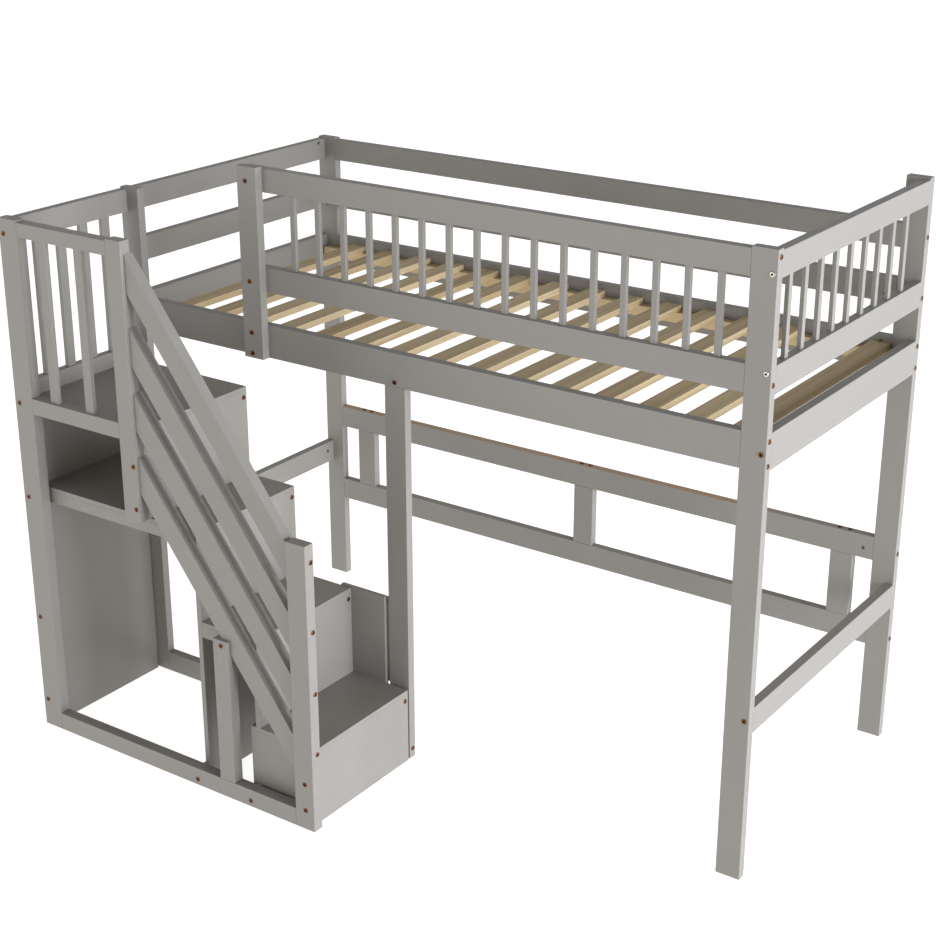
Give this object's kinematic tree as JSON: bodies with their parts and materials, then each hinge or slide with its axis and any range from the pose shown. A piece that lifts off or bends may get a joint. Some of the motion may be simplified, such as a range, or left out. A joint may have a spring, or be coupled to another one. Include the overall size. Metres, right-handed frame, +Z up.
{
  "type": "loft bed",
  "caption": "Raised slatted bed with spindle guard rails, an open back frame, and a side staircase with a landing and storage shelves.",
  "frame": {"origin": "centre of the footprint, on the floor", "axes": "+X along the bed to the end away from the stairs, -Y to the front where the stairs stand, +Z up"},
  "size_m": [1.974, 1.312, 1.584],
  "materials": {
    "painted_wood": "satin warm grey paint over solid pine",
    "painted_board": "satin warm grey paint over smooth board",
    "raw_pine": "planed, unpainted pine",
    "bronzed_steel": "dark bronzed furniture bolts",
    "zinc_steel": "zinc plated nuts",
    "screw_steel": "yellowed zinc wood screws and dowels"
  },
  "bodies": {
    "root": {"post_front_right": "painted_wood", "post_back_right": "painted_wood", "post_back_left": "painted_wood", "post_front_left": "painted_wood", "mid_leg": "painted_wood", "guard_post": "painted_wood", "stair_corner_post": "painted_wood", "landing_post": "painted_wood", "newel_post": "painted_wood", "stair_upright": "painted_wood", "upright_packing": "painted_wood", "front_side_rail": "painted_wood", "back_side_rail": "painted_wood", "right_end_rail": "painted_wood", "left_end_rail": "painted_wood", "front_guard_top": "painted_wood", "front_guard_mid": "painted_wood", "front_spindles": "painted_wood", "right_guard_top": "painted_wood", "right_guard_mid": "painted_wood", "right_spindles": "painted_wood", "right_low_rail": "painted_wood", "left_guard_top": "painted_wood", "left_guard_mid": "painted_wood", "left_low_rail": "painted_wood", "back_guard_top": "painted_wood", "back_guard_mid": "painted_wood", "back_frame_top_rail": "painted_wood", "back_frame_low_rail": "painted_wood", "back_uprights": "painted_wood", "front_ledger": "raw_pine", "back_ledger": "raw_pine", "slats": "raw_pine", "leg_cleat": "painted_wood", "stair_base_rail": "painted_wood", "stair_back_base_rail": "painted_wood", "riser_1": "painted_board", "riser_2": "painted_board", "riser_3": "painted_board", "riser_4": "painted_board", "step_box_wall": "painted_board", "step_box_front": "painted_board", "step_back_guard": "painted_board", "tread_1": "painted_board", "tread_2": "painted_board", "shelf_board": "painted_board", "landing_panel": "painted_board", "tread_rails": "painted_wood", "tread_battens": "painted_wood", "stair_side_panel": "painted_board", "handrail_boards": "painted_wood", "landing_top_rail": "painted_wood", "landing_front_rail": "painted_wood", "landing_balusters": "painted_wood", "side_landing_board": "painted_wood", "side_top_rail": "painted_wood", "side_balusters": "painted_wood", "rail_bolts": "bronzed_steel", "barrel_nuts": "zinc_steel", "screws_and_dowels": "screw_steel"}
  },
  "joints": []
}
